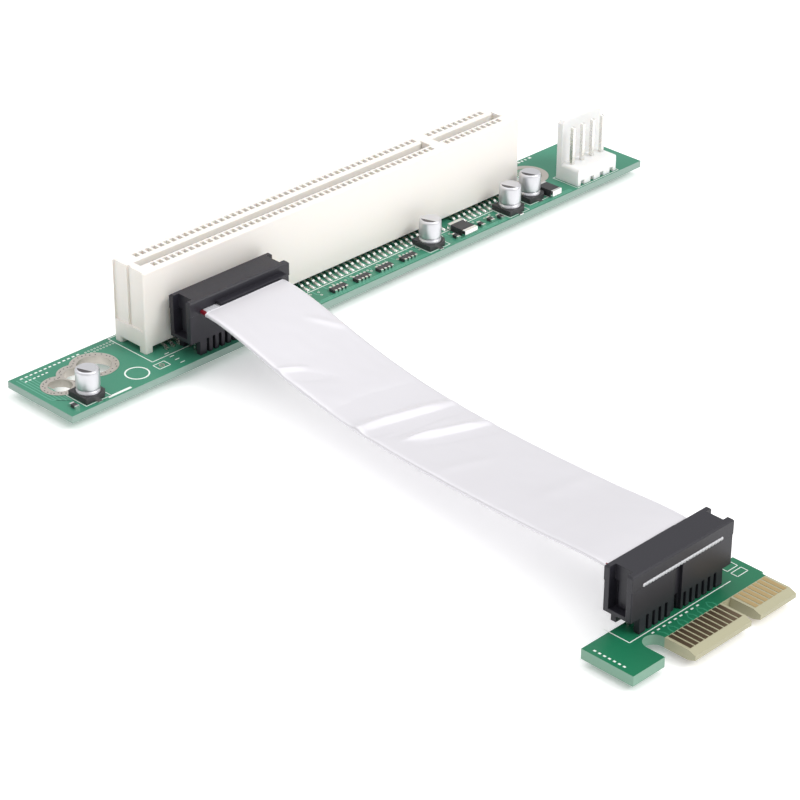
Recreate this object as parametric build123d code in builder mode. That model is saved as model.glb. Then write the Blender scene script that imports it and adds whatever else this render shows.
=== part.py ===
"""Slot riser on a ribbon cable: a long riser board with a 32-bit card slot, joined by a
26-way flat cable to a small card-edge board. X runs along the slot, Y from the card edge
back to the slot, Z up. Both boards stand on the tails of their connectors, at Z = 0."""

import os
from math import radians, sqrt, tan

from build123d import *

os.makedirs("parts", exist_ok=True)

# Overall layout
overall_depth = 120.6
left_zone = 20.38
right_zone = 24.78
connector_setback = 0.8
connector_depth = 4.9
lead_gap = 0.1
front_lead_reach = 4.8
slot_back = 4.8
riser_thickness = 1.2
card_thickness = 1.6
tail_drop = 2.6
board_top = tail_drop
riser_width = connector_setback + connector_depth + lead_gap + front_lead_reach + slot_back
riser_rear = overall_depth / 2
riser_front = riser_rear - riser_width
riser_bottom = board_top - riser_thickness
card_front = -overall_depth / 2
card_bottom = board_top - card_thickness

# Card slot
contact_pitch = 1.27
slot_y = riser_rear - slot_back
position_count = 62
key_positions = (50, 51)
slot_height = 13.97
slot_width = 7.4
slot_end_margin = 3.685
slot_standoff = 1.0
slot_corner = 0.35
gap_width = 1.8
gap_depth = 9.3
gap_lead_in = 0.35
gap_left_margin = 1.7
gap_right_margin = 1.9
key_rib = 1.95
window_near = 1.55
window_far = 2.7
cavity_width = 0.8
cavity_lip = 1.37
cavity_depth = 9.17
end_groove_width = 0.7
end_groove_depth = 0.6
plinth_height = 3.8
plinth_step = 0.25
foot_length = 1.6
foot_gap = 4.2
low_end_drop = 1.3

# Slot contacts
contact_width = 0.5
contact_thickness = 0.25
contact_line = 2.25
contact_bow = 0.72
contact_tip_depth = 1.0
contact_bow_depth = 3.4
contact_bend_depth = 6.0
contact_tip_shift = 0.4
rear_lead_reach = 4.5
lead_foot = 0.55
lead_shoulder = 0.5
lead_drop_run = 0.3

# Cable connectors
way_count = 13
way_pitch = contact_pitch
row_spacing = 1.27
row_shift = 0.45
pin_side = 0.35
pin_clearance = 0.12
connector_end = 2.145
connector_base_low = 2.5
connector_base_high = 7.2
connector_top = 9.6
connector_corner = 0.2
cover_edge = 0.25
rib_width = 0.7
end_post_width = 1.3
rib_depth = 0.9
end_recess_width = 3.0
end_recess_depth = 1.7
end_recess_floor = 0.6
latch_width = 1.6
latch_thickness = 0.5
latch_clearance = 0.1
key_groove_width = 1.6
key_groove_depth = 0.5
key_groove_shift = 0.9
lip_length = 1.1
lip_width = 14.0
lip_shift = 1.9
lip_thickness = 0.5
upper_position = 9.5
connector_sidestep = 10.16
lower_connector_back = 10.55

# Cable
wire_pitch = way_pitch / 2
ribbon_width = 2 * way_count * wire_pitch
ribbon_thickness = 0.6
foil_thickness = 0.12
foil_gap = 0.3
# Sag along the cable: share of the way between the exits, drop below them
cable_sag = ((0.077, 0), (0.287, 3.2), (0.491, 3.8), (0.792, 1.9), (0.945, 0))
bend_share = 0.45

# Edge card
finger_pitch = 1.0
finger_width = 0.7
finger_length = 3.8
finger_inset = 1.3
finger_thickness = 0.05
finger_margin = 0.475
long_finger_count = 11
short_finger_count = 7
key_notch_width = 1.9
key_notch_depth = 5.2
key_notch_shift = 5.95
card_margin = 0.27
tab_width = 6.3
tab_gap = 3.4
tab_setback = 2.35
tab_notch_depth = 7.2
tongue_depth = 6.0
shoulder_step = 0.4
bevel_run = 1.2
bevel_rise = 0.45

# Mounting holes: distance from the left end or the slot's right end, distance behind the
# front edge, clear radius
left_lobes = ((12.6, 10.1, 2.75), (8.8, 9.7, 2.0), (4.7, 8.6, 1.9))
right_hole = (5.78, 10.1, 2.75)
plating_flange = 1.15
plating_wall = 0.25
plating_thickness = 0.06

# Can capacitors: the first from the left end, the others from the slot's right end, and
# distance behind the front edge
first_capacitor = (5.9, 3.3)
other_capacitors = ((-25.72, 3.05), (-6.42, 2.8), (-0.32, 3.8))
capacitor_lead_width = 0.9
capacitor_lead_height = 0.16
capacitor_lead_length = 1.75
capacitor_front_reach = 0.75
capacitor_rear_reach = 0.15
can_radius = 1.9
can_height = 4.75
can_base_side = 4.3
can_base_height = 0.9
can_seat = 0.55
can_groove_height = 1.45
can_groove_depth = 0.22
can_edge = 0.35
can_base_cut = 0.8
can_clearance = 0.03

# Power header
header_shift = 13.68
header_pitch = 2.54
header_count = 4
header_length = 10.0
header_depth = 5.1
header_height = 3.2
header_front = 0.6
latch_plate_height = 11.0
latch_plate_thickness = 1.1
header_pin_side = 0.64
header_pin_top = 10.2
header_pin_clearance = 0.13
header_slot_side = 0.9
header_slot_depth = 0.5
header_corner = 0.5
header_shoulder = 0.7
header_pin_tip = 0.15

# Small parts along the board's front edge: distance from the slot's right end, distance
# behind the front edge, quarter turns; the one chip resistor at the left goes by its own
resistor_places = ((-20.82, 1.7, 1), (-14.52, 1.9, 1), (-12.02, 2.1, 1), (-10.02, 1.6, 1))
left_resistor = (2.1, 2.0, 1)
array_places = ((-48.12, 1.9, 1), (-42.82, 1.9, 1), (-37.62, 1.9, 1), (-32.12, 1.9, 1))
array_terminals = 4
array_pitch = 0.8
array_gap = 0.35
regulator_places = ((-18.22, 2.7, 1),)
diode_places = ((3.18, 2.5, 1),)

# Bridge chip under the riser board
chip_shift = -32.22
chip_side = 10.0
chip_height = riser_bottom
chip_standoff = 0.1
chip_lead_count = 12
chip_lead_pitch = 0.65
chip_lead_width = 0.25
chip_lead_reach = 1.0
chip_lead_thickness = 0.15
chip_lead_exit = 0.55
chip_lead_knee = 0.45
chip_edge = 0.2

slot_length = contact_pitch * (position_count - 1) + 2 * slot_end_margin
board_length = left_zone + slot_length + right_zone
board_left = -board_length / 2
slot_left = board_left + left_zone
slot_right = slot_left + slot_length
slot_x = (slot_left + slot_right) / 2
slot_top = board_top + slot_height
connector_length = way_count * way_pitch + 2 * connector_end


def position_x(position):
    """X of one contact position, counted from 1 at the left end."""
    return slot_x + (position - (position_count + 1) / 2) * contact_pitch


contact_positions = [n for n in range(1, position_count + 1) if n not in key_positions]
key_x = sum(position_x(n) for n in key_positions) / len(key_positions)
upper_connector_x = position_x(upper_position)
upper_connector_y = riser_front + connector_setback + connector_depth / 2
lower_connector_x = upper_connector_x - connector_sidestep
lower_connector_y = card_front + lower_connector_back


def save(part, name):
    """Label one finished piece and write it."""
    part.label = name
    export_step(part, f"parts/{name}.step")


# Riser board, with its plated mounting holes and the holes for the through pins
def connector_grid(x, y):
    """The 2 by 13 places of a cable connector's pins."""
    return [(x + (i - (way_count - 1) / 2) * way_pitch, y + side * row_spacing / 2)
            for i in range(way_count) for side in (-1, 1)]


header_x = slot_right + header_shift
header_y = riser_front + header_front + header_depth / 2
header_places = [(header_x + (i - (header_count - 1) / 2) * header_pitch, header_y)
                 for i in range(header_count)]
lobes = [(board_left + x, back, radius) for x, back, radius in left_lobes]
round_hole = (slot_right + right_hole[0], *right_hole[1:])
hole_sets = {"lobed_hole_plating": lobes, "round_hole_plating": (round_hole,)}
upper_rows_y = upper_connector_y + row_shift
lower_rows_y = lower_connector_y - row_shift

with BuildPart() as riser_board:
    with BuildSketch(Plane.XY.offset(riser_bottom)):
        with Locations((0, (riser_front + riser_rear) / 2)):
            Rectangle(board_length, riser_width)
        for holes in hole_sets.values():
            for x, back, radius in holes:
                with Locations((x, riser_front + back)):
                    Circle(radius + plating_wall, mode=Mode.SUBTRACT)
        with Locations(*connector_grid(upper_connector_x, upper_rows_y)):
            Rectangle(pin_side + 2 * pin_clearance, pin_side + 2 * pin_clearance, mode=Mode.SUBTRACT)
        with Locations(*header_places):
            Circle(header_pin_side / sqrt(2) + header_pin_clearance, mode=Mode.SUBTRACT)
    extrude(amount=riser_thickness)
save(riser_board.part, "riser_board")

for plating_name, holes in hole_sets.items():
    with BuildPart() as plating:
        with BuildSketch(Plane.XY.offset(riser_bottom - plating_thickness)):
            for x, back, radius in holes:
                with Locations((x, riser_front + back)):
                    Circle(radius + plating_wall)
        extrude(amount=riser_thickness + 2 * plating_thickness)
        with BuildSketch(Plane.XY.offset(board_top), Plane.XY.offset(riser_bottom - plating_thickness)):
            for x, back, radius in holes:
                with Locations((x, riser_front + back)):
                    Circle(radius + plating_flange)
        extrude(amount=plating_thickness)
        with BuildSketch(Plane.XY.offset(riser_bottom - plating_thickness)):
            for x, back, radius in holes:
                with Locations((x, riser_front + back)):
                    Circle(radius)
        extrude(amount=riser_thickness + 2 * plating_thickness, mode=Mode.SUBTRACT)
    save(plating.part, plating_name)

# Slot housing: one moulding with an open card gap, a key rib and a cavity for every contact
contact_places = [(position_x(n), slot_y, board_top) for n in contact_positions]
cavity_high = slot_height - cavity_lip
cavity_low = slot_height - cavity_depth

with BuildPart() as cavity_pair:
    with BuildSketch(Plane.YZ):
        for side in (-1, 1):
            Polygon((side * window_far, 0), (side * window_far, slot_height),
                    (side * window_near, slot_height), (side * window_near, cavity_high),
                    (side * gap_width / 2, cavity_high), (side * gap_width / 2, cavity_low),
                    (side * window_near, cavity_low), (side * window_near, 0), align=None)
    extrude(amount=cavity_width / 2, both=True)

with BuildPart() as slot_housing:
    with BuildSketch(Plane.XY.offset(board_top + slot_standoff)):
        with Locations((slot_x, slot_y)):
            Rectangle(slot_length, slot_width)
    extrude(amount=slot_height - slot_standoff)
    fillet(slot_housing.edges().filter_by(Axis.Z), slot_corner)
    chamfer(slot_housing.faces().sort_by(Axis.Z)[-1].edges(), slot_corner / 2)
    # Feet at the four corners carry the moulding on the board
    foot_width = (slot_width - foot_gap) / 2
    foot_ys = [slot_y + side * (slot_width - foot_width) / 2 for side in (-1, 1)]
    foot_xs = [slot_left + foot_length / 2, slot_right - foot_length / 2]
    with BuildSketch(Plane.XY.offset(board_top)):
        with Locations(*[(x, y) for x in foot_xs for y in foot_ys]):
            RectangleRounded(foot_length, foot_width, slot_corner)
    extrude(amount=slot_standoff + slot_corner)
    # The card gap on both sides of the key rib, with a lead-in along its mouth
    gap_ends = (slot_left + gap_left_margin, key_x - key_rib / 2,
                key_x + key_rib / 2, slot_right - gap_right_margin)
    gap_spans = [gap_ends[:2], gap_ends[2:]]
    with BuildSketch(Plane.XY.offset(slot_top)):
        for start, end in gap_spans:
            with Locations(((start + end) / 2, slot_y)):
                Rectangle(end - start, gap_width)
    extrude(amount=-gap_depth, mode=Mode.SUBTRACT)
    for start, end in gap_spans:
        with BuildSketch(Plane((start, slot_y, slot_top), x_dir=(0, 1, 0), z_dir=(1, 0, 0))):
            Polygon((-gap_width / 2 - gap_lead_in, 0), (gap_width / 2 + gap_lead_in, 0),
                    (gap_width / 2, -gap_lead_in), (-gap_width / 2, -gap_lead_in), align=None)
        extrude(amount=end - start, mode=Mode.SUBTRACT)
    # Contact cavities: a window through the top and the floor, open to the gap below its lip
    with Locations(*contact_places):
        add(cavity_pair.part, mode=Mode.SUBTRACT)
    # Left end: an upright groove that stops on a plinth; right end: cut down past the gap
    with BuildSketch(Plane.XY.offset(board_top + plinth_height)):
        with Locations((slot_left + end_groove_depth / 2, slot_y)):
            Rectangle(end_groove_depth, end_groove_width)
    extrude(amount=slot_height, mode=Mode.SUBTRACT)
    with BuildSketch(Plane.XY.offset(board_top + plinth_height)):
        with Locations((slot_left + plinth_step / 2, slot_y)):
            Rectangle(plinth_step, slot_width - 2 * slot_corner)
    extrude(amount=slot_height, mode=Mode.SUBTRACT)
    with BuildSketch(Plane.XZ.offset(-slot_y - slot_width / 2)):
        Polygon((slot_right - gap_right_margin, slot_top),
                (slot_right - gap_right_margin + low_end_drop / 2, slot_top - low_end_drop),
                (slot_right, slot_top - low_end_drop), (slot_right, slot_top), align=None)
    extrude(amount=slot_width - (slot_width - gap_width) / 2, mode=Mode.SUBTRACT)
save(slot_housing.part, "slot_housing")


# Slot contacts: a bowed spring in each cavity that runs down to a gull-wing foot on the board
def contact_row(side, reach):
    """One row of separate contacts; side is -1 for the front row, 1 for the rear row."""
    half = contact_thickness / 2
    shoulder = reach - lead_foot
    with BuildPart() as contact:
        with BuildSketch(Plane.YZ):
            with BuildLine():
                Polyline((side * (window_near + contact_tip_shift), slot_height - contact_tip_depth),
                         (side * contact_bow, slot_height - contact_bow_depth),
                         (side * contact_line, slot_height - contact_bend_depth),
                         (side * contact_line, lead_shoulder),
                         (side * (shoulder - lead_drop_run), lead_shoulder - half),
                         (side * shoulder, half),
                         (side * reach, half))
            trace(line_width=contact_thickness)
        extrude(amount=contact_width / 2, both=True)
    with BuildPart() as row:
        with Locations(*contact_places):
            add(contact.part)
    return row.part


save(contact_row(-1, front_lead_reach), "slot_contacts_front")
save(contact_row(1, rear_lead_reach), "slot_contacts_rear")


# Cable connectors: ribbed base, latched cover over the cable, and pins through the board
def connector_plane(x, y, cable_side):
    """The connector's own frame on the board: its cable leaves towards local +Y."""
    return Plane((x, y, board_top), x_dir=(cable_side, 0, 0), z_dir=(0, 0, 1))


def connector_base(frame):
    """Ribbed base with end recesses for the cover's latches and a key groove at the back."""
    with BuildPart() as base:
        with BuildSketch(frame.offset(connector_base_low)):
            Rectangle(connector_length, connector_depth)
        extrude(amount=connector_base_high - connector_base_low)
        fillet(base.edges().filter_by(Axis.Z), connector_corner)
        with BuildSketch(frame):
            row_step = connector_depth - rib_depth
            post_step = (way_count - 1) * way_pitch + end_post_width - rib_width
            with GridLocations(way_pitch, row_step, way_count, 2):
                Rectangle(rib_width, rib_depth)
            with GridLocations(post_step, row_step, 2, 2):
                Rectangle(end_post_width, rib_depth)
        extrude(amount=connector_base_low)
        with BuildSketch(frame.offset(connector_base_low + end_recess_floor)):
            recess_x = (connector_length - end_recess_depth) / 2
            with Locations((-recess_x, 0), (recess_x, 0)):
                Rectangle(end_recess_depth, end_recess_width)
        extrude(amount=connector_base_high, mode=Mode.SUBTRACT)
        with BuildSketch(frame):
            with Locations((-key_groove_shift, -(connector_depth - key_groove_depth) / 2)):
                Rectangle(key_groove_width, key_groove_depth)
        extrude(amount=connector_base_high, mode=Mode.SUBTRACT)
        with BuildSketch(frame.offset(connector_base_low)):
            with Locations((0, -row_shift)):
                with GridLocations(way_pitch, row_spacing, way_count, 2):
                    Rectangle(pin_side, pin_side)
        extrude(amount=connector_base_high - connector_base_low, mode=Mode.SUBTRACT)
    return base.part


def connector_cover(frame):
    """Cover over the cable: side blocks, notched ends, a lip above the cable and two latches."""
    cable_high = connector_base_high + ribbon_thickness
    notch_depth = end_recess_depth - latch_thickness
    latch_low = connector_base_low + end_recess_floor + latch_clearance
    latch_x = connector_length / 2 - notch_depth - latch_thickness / 2
    with BuildPart() as cover:
        with BuildSketch(frame.offset(connector_base_high)):
            Rectangle(connector_length, connector_depth)
        extrude(amount=connector_top - connector_base_high)
        chamfer(cover.faces().sort_by(Axis.Z)[-1].edges(), cover_edge)
        with BuildSketch(frame.offset(cable_high)):
            with Locations((-lip_shift, (connector_depth + lip_length) / 2)):
                Rectangle(lip_width, lip_length)
        extrude(amount=lip_thickness)
        with BuildSketch(frame.offset(connector_base_high)):
            Rectangle(ribbon_width, connector_depth + 2 * lip_length)
        extrude(amount=ribbon_thickness, mode=Mode.SUBTRACT)
        with BuildSketch(frame.offset(connector_base_high)):
            notch_x = (connector_length - notch_depth) / 2
            with Locations((-notch_x, 0), (notch_x, 0)):
                Rectangle(notch_depth, end_recess_width)
        extrude(amount=connector_top, mode=Mode.SUBTRACT)
        with BuildSketch(frame.offset(latch_low)):
            with Locations((-latch_x, 0), (latch_x, 0)):
                Rectangle(latch_thickness, latch_width)
        extrude(amount=connector_base_high - latch_low)
    return cover.part


def connector_pins(frame):
    """26 square pins, from just under the cable down to the plane that the tails stand on."""
    with BuildPart() as pins:
        with BuildSketch(frame.offset(-tail_drop)):
            with Locations((0, -row_shift)):
                with GridLocations(way_pitch, row_spacing, way_count, 2):
                    Rectangle(pin_side, pin_side)
        extrude(amount=tail_drop + connector_base_high)
    return pins.part


connector_frames = {
    "upper": connector_plane(upper_connector_x, upper_connector_y, -1),
    "lower": connector_plane(lower_connector_x, lower_connector_y, 1),
}
for name, frame in connector_frames.items():
    save(connector_base(frame), f"{name}_connector_base")
    save(connector_cover(frame), f"{name}_connector_cover")
    save(connector_pins(frame), f"{name}_connector_pins")

# Cable: one sagging flat ribbon clamped in both connectors, with foil wrapped round it
upper_far = upper_connector_y + connector_depth / 2
upper_exit = upper_connector_y - connector_depth / 2
lower_exit = lower_connector_y + connector_depth / 2
lower_far = lower_connector_y - connector_depth / 2
cable_low = board_top + connector_base_high
cable_span = upper_exit - lower_exit
cable_route = [(upper_far, 0), *((upper_exit - share * cable_span, -drop) for share, drop in cable_sag),
               (lower_far, 0)]


def bend_radii(route):
    """The radius at each corner of a route, as large as its shorter run leaves room for."""
    radii = []
    for before, corner, after in zip(route, route[1:], route[2:]):
        first = Vector(corner[0] - before[0], corner[1] - before[1])
        second = Vector(after[0] - corner[0], after[1] - corner[1])
        half_turn = radians(first.get_angle(second)) / 2
        radii.append(bend_share * min(first.length, second.length) / tan(half_turn))
    return radii


def cable_x(y):
    """The cable's centre line in plan: straight between the two exits."""
    share = min(max((upper_exit - y) / (upper_exit - lower_exit), 0), 1)
    return upper_connector_x + share * (lower_connector_x - upper_connector_x)


def cable_layer(extra, y_start, y_end):
    """The cable's form from y_start to y_end, grown by extra all round."""
    half = ribbon_width / 2 + extra
    lower_line = [(y, cable_low + z - extra) for y, z in cable_route]
    upper_line = [(y, z + ribbon_thickness + 2 * extra) for y, z in lower_line]
    bends = [y for y in (upper_exit, lower_exit) if y_end < y < y_start]
    stations = [y_start, *bends, y_end]
    outline = [(cable_x(y) - half, y) for y in stations]
    outline += [(cable_x(y) + half, y) for y in reversed(stations)]
    with BuildPart() as layer:
        with BuildSketch(Plane.YZ.offset(lower_connector_x - ribbon_width)):
            with BuildLine():
                low = FilletPolyline(*lower_line, radius=bend_radii(cable_route))
                high = FilletPolyline(*upper_line, radius=bend_radii(cable_route))
                Line(low @ 0, high @ 0)
                Line(low @ 1, high @ 1)
            make_face()
        extrude(amount=upper_connector_x - lower_connector_x + 2 * ribbon_width)
        with BuildSketch(Plane.XY):
            Polygon(*outline, align=None)
        extrude(amount=board_top + slot_height, mode=Mode.INTERSECT)
    return layer.part


ribbon_solid = cable_layer(0, upper_far, lower_far)
save(ribbon_solid, "ribbon_cable")
foil_start = upper_exit - foil_gap - lip_length
foil_end = lower_exit + foil_gap + lip_length
with BuildPart() as cable_foil:
    add(cable_layer(foil_thickness, foil_start, foil_end))
    add(ribbon_solid, mode=Mode.SUBTRACT)
save(cable_foil.part, "cable_foil")

# Edge card: tab, bevelled tongues with the key notch between them, and gold fingers
long_tongue = (long_finger_count - 1) * finger_pitch + finger_width + 2 * finger_margin
short_tongue = (short_finger_count - 1) * finger_pitch + finger_width + 2 * finger_margin
key_notch_x = lower_connector_x + key_notch_shift
tongue_left = key_notch_x - key_notch_width / 2 - long_tongue
tongue_right = key_notch_x + key_notch_width / 2 + short_tongue
card_rear = lower_rows_y + row_spacing / 2 + pin_side / 2 + pin_clearance + card_margin
card_right = tongue_right + shoulder_step
tab_right = tongue_left - tab_gap
tab_left = tab_right - tab_width
tab_front = card_front + tab_setback

with BuildPart() as edge_card_board:
    with BuildSketch(Plane.XY.offset(card_bottom)):
        with BuildLine():
            Polyline((tab_left, tab_front), (tab_left, card_rear), (card_right, card_rear),
                     (card_right, card_front + tongue_depth), (tongue_right, card_front + tongue_depth),
                     (tongue_right, card_front), (tongue_left, card_front),
                     (tongue_left, card_front + tab_notch_depth - tab_gap / 2))
            TangentArc((tongue_left, card_front + tab_notch_depth - tab_gap / 2),
                       (tab_right, card_front + tab_notch_depth - tab_gap / 2), tangent=(0, 1))
            Polyline((tab_right, card_front + tab_notch_depth - tab_gap / 2),
                     (tab_right, tab_front), (tab_left, tab_front))
        make_face()
        with Locations((key_notch_x, card_front + key_notch_depth / 2)):
            Rectangle(key_notch_width, key_notch_depth, mode=Mode.SUBTRACT)
        with Locations(*connector_grid(lower_connector_x, lower_rows_y)):
            Rectangle(pin_side + 2 * pin_clearance, pin_side + 2 * pin_clearance, mode=Mode.SUBTRACT)
    extrude(amount=card_thickness)
    for tongue_x in (tongue_left, tongue_right):
        tip = edge_card_board.faces().filter_by(Plane.XZ).group_by(Axis.Y)[0].sort_by_distance(
            (tongue_x, card_front, board_top))[0]
        chamfer(tip.edges().filter_by(Axis.X), length=bevel_rise, length2=bevel_run, reference=tip)
save(edge_card_board.part, "edge_card_board")

finger_xs = [tongue_left + finger_margin + finger_width / 2 + i * finger_pitch for i in range(long_finger_count)]
finger_xs += [tongue_right - finger_margin - finger_width / 2 - i * finger_pitch for i in range(short_finger_count)]
for name, height in (("edge_fingers_top", board_top), ("edge_fingers_bottom", card_bottom - finger_thickness)):
    with BuildPart() as fingers:
        with BuildSketch(Plane.XY.offset(height)):
            with Locations(*[(x, card_front + finger_inset + finger_length / 2) for x in finger_xs]):
                Rectangle(finger_width, finger_length)
        extrude(amount=finger_thickness)
    save(fingers.part, name)

# Can capacitors: crimped can in a black square base with two cut corners, on two leads
capacitor_places = [(board_left + first_capacitor[0], first_capacitor[1])]
capacitor_places += [(slot_right + x, back) for x, back in other_capacitors]
front_lead_y = -can_base_side / 2 - capacitor_front_reach + capacitor_lead_length / 2
rear_lead_y = can_base_side / 2 + capacitor_rear_reach - capacitor_lead_length / 2
for number, (x, back) in enumerate(capacitor_places, start=1):
    seat = Plane((x, riser_front + back, board_top))
    with BuildPart() as leads:
        with BuildSketch(seat):
            with Locations((0, front_lead_y), (0, rear_lead_y)):
                Rectangle(capacitor_lead_width, capacitor_lead_length)
        extrude(amount=capacitor_lead_height)
    save(leads.part, f"capacitor_{number}_leads")
    with BuildPart() as base:
        with BuildSketch(seat):
            Rectangle(can_base_side, can_base_side)
        extrude(amount=can_base_height)
        chamfer(base.edges().filter_by(Axis.Z).group_by(Axis.X)[-1], can_base_cut)
        with BuildSketch(seat.offset(can_seat)):
            Circle(can_radius + can_clearance)
        extrude(amount=can_base_height, mode=Mode.SUBTRACT)
        add(leads.part, mode=Mode.SUBTRACT)
    save(base.part, f"capacitor_{number}_base")
    with BuildPart() as can:
        with BuildSketch(Plane(seat.origin, x_dir=(1, 0, 0), z_dir=(0, -1, 0))):
            with BuildLine():
                Polyline((0, can_seat), (can_radius, can_seat),
                         (can_radius, can_groove_height - can_groove_depth),
                         (can_radius - can_groove_depth, can_groove_height),
                         (can_radius, can_groove_height + can_groove_depth),
                         (can_radius, can_height - can_edge))
                RadiusArc((can_radius, can_height - can_edge), (can_radius - can_edge, can_height), -can_edge)
                Polyline((can_radius - can_edge, can_height), (0, can_height), (0, can_seat))
            make_face()
        revolve(axis=Axis(seat.origin, (0, 0, 1)))
    save(can.part, f"capacitor_{number}_can")

# Power header: base with four front notches, a tall latch plate at the rear and four pins
with BuildPart() as power_header_housing:
    with BuildSketch(Plane.XY.offset(board_top)):
        with Locations((header_x, header_y)):
            Rectangle(header_length, header_depth)
    extrude(amount=header_height)
    fillet(power_header_housing.edges().filter_by(Axis.Y).group_by(Axis.Z)[-1], header_shoulder)
    with BuildSketch(Plane.XY.offset(board_top)):
        with Locations((header_x, header_y + (header_depth - latch_plate_thickness) / 2)):
            Rectangle(header_length, latch_plate_thickness)
    extrude(amount=latch_plate_height)
    upper_corners = power_header_housing.edges().filter_by(Axis.Y).group_by(Axis.Z)[-1]
    chamfer(upper_corners, header_corner)
    with BuildSketch(Plane.XY.offset(board_top)):
        with Locations(*[(x, header_y - header_depth / 2 + header_slot_depth / 2) for x, _ in header_places]):
            Rectangle(header_slot_side, header_slot_depth)
    extrude(amount=header_slot_side, mode=Mode.SUBTRACT)
    with BuildSketch(Plane.XY.offset(board_top)):
        with Locations(*header_places):
            Rectangle(header_pin_side, header_pin_side)
    extrude(amount=header_height, mode=Mode.SUBTRACT)
save(power_header_housing.part, "power_header_housing")

with BuildPart() as power_header_pins:
    with BuildSketch(Plane.XY):
        with Locations(*header_places):
            Rectangle(header_pin_side, header_pin_side)
    extrude(amount=board_top + header_pin_top)
    chamfer(power_header_pins.faces().group_by(Axis.Z)[-1].edges(), header_pin_tip)
save(power_header_pins.part, "power_header_pins")

# Bridge chip: square leaded package on the underside, under the slot
chip_x = slot_right + chip_shift
chip_y = (riser_front + riser_rear) / 2
with BuildPart() as bridge_chip_body:
    with BuildSketch(Plane.XY):
        with Locations((chip_x, chip_y)):
            Rectangle(chip_side, chip_side)
    extrude(amount=chip_height - chip_standoff)
    chamfer(bridge_chip_body.faces().sort_by(Axis.Z)[0].edges(), chip_edge)
save(bridge_chip_body.part, "bridge_chip_body")

with BuildPart() as bridge_chip_leads:
    lead_root = chip_side / 2
    lead_knee = lead_root + chip_lead_knee
    lead_end = lead_root + chip_lead_reach
    lead_low = chip_lead_exit + chip_lead_thickness
    for turn in range(4):
        heading = Plane((chip_x, chip_y, riser_bottom), x_dir=(1, 0, 0), z_dir=(0, 0, 1)).rotated((0, 0, 90 * turn))
        lead_planes = [Plane(heading.from_local_coords((0, (i - (chip_lead_count - 1) / 2) * chip_lead_pitch, 0)),
                             x_dir=heading.x_dir, z_dir=-heading.y_dir)
                       for i in range(chip_lead_count)]
        with BuildSketch(*lead_planes):
            Polygon((lead_root, -lead_low), (lead_root, -chip_lead_exit), (lead_knee, -chip_lead_exit),
                    (lead_knee, 0), (lead_end, 0), (lead_end, -chip_lead_thickness),
                    (lead_knee + chip_lead_thickness, -chip_lead_thickness),
                    (lead_knee + chip_lead_thickness, -lead_low), align=None)
        extrude(amount=chip_lead_width / 2, both=True)
save(bridge_chip_leads.part, "bridge_chip_leads")


# Small surface parts
def chip_row(body_name, ends_name, places, length, width, height, end, terminals=1):
    """Rectangular parts on the board: a node for the bodies and one for their tinned ends."""
    end_width = width if terminals == 1 else array_pitch - array_gap
    seats = [Location((x, riser_front + back), 90 * turned) for x, back, turned in places]
    with BuildPart() as bodies:
        with BuildSketch(Plane.XY.offset(board_top)):
            with Locations(*seats):
                Rectangle(length - 2 * end, width)
        extrude(amount=height)
    with BuildPart() as ends:
        with BuildSketch(Plane.XY.offset(board_top)):
            with Locations(*seats):
                with GridLocations(length - end, array_pitch, 2, terminals):
                    Rectangle(end, end_width)
        extrude(amount=height)
    save(bodies.part, body_name)
    save(ends.part, ends_name)


def from_slot(places):
    """Places measured from the slot's right end, as places on the board."""
    return [(slot_right + x, back, turned) for x, back, turned in places]


all_resistors = [*from_slot(resistor_places), (board_left + left_resistor[0], *left_resistor[1:])]
chip_row("chip_resistor_bodies", "chip_resistor_ends", all_resistors, 1.6, 0.8, 0.5, 0.35)
chip_row("resistor_array_bodies", "resistor_array_ends", from_slot(array_places), 1.7, 3.2, 0.55, 0.35,
         array_terminals)
chip_row("regulator_body", "regulator_ends", from_slot(regulator_places), 4.2, 3.0, 1.1, 0.7)
chip_row("diode_body", "diode_ends", from_slot(diode_places), 4.0, 2.2, 1.3, 0.5)
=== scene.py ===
"""Studio picture of the slot riser: a long board with a card slot, a foil-wrapped flat cable and
a small edge card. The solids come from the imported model. This script gives them their finishes
and adds solder, tracks, print, the turned cans, the cable's wires and creased foil, and the
studio. Sizes are in mm, and become metres where Blender takes them."""

import math
import random

import bpy
from mathutils import Matrix, Vector
from mathutils.noise import noise


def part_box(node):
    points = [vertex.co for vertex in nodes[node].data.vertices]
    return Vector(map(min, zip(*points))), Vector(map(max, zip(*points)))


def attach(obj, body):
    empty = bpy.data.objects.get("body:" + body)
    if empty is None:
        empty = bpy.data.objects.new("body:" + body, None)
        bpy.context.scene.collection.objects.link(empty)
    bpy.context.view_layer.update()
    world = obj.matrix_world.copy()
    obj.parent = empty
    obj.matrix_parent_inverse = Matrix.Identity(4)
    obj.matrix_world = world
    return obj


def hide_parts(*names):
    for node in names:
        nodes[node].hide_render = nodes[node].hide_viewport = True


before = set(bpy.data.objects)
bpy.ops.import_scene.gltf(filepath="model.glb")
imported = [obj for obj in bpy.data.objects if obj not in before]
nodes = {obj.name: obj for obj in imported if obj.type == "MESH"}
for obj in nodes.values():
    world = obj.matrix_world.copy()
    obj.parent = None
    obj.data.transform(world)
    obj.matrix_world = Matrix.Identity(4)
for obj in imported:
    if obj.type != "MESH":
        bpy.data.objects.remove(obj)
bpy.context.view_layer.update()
random.seed(7)

MM = 0.001


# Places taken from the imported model

def box_mm(node):
    """Lowest and highest corner of a CAD node, in mm."""
    low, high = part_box(node)
    return Vector(low) / MM, Vector(high) / MM


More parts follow.
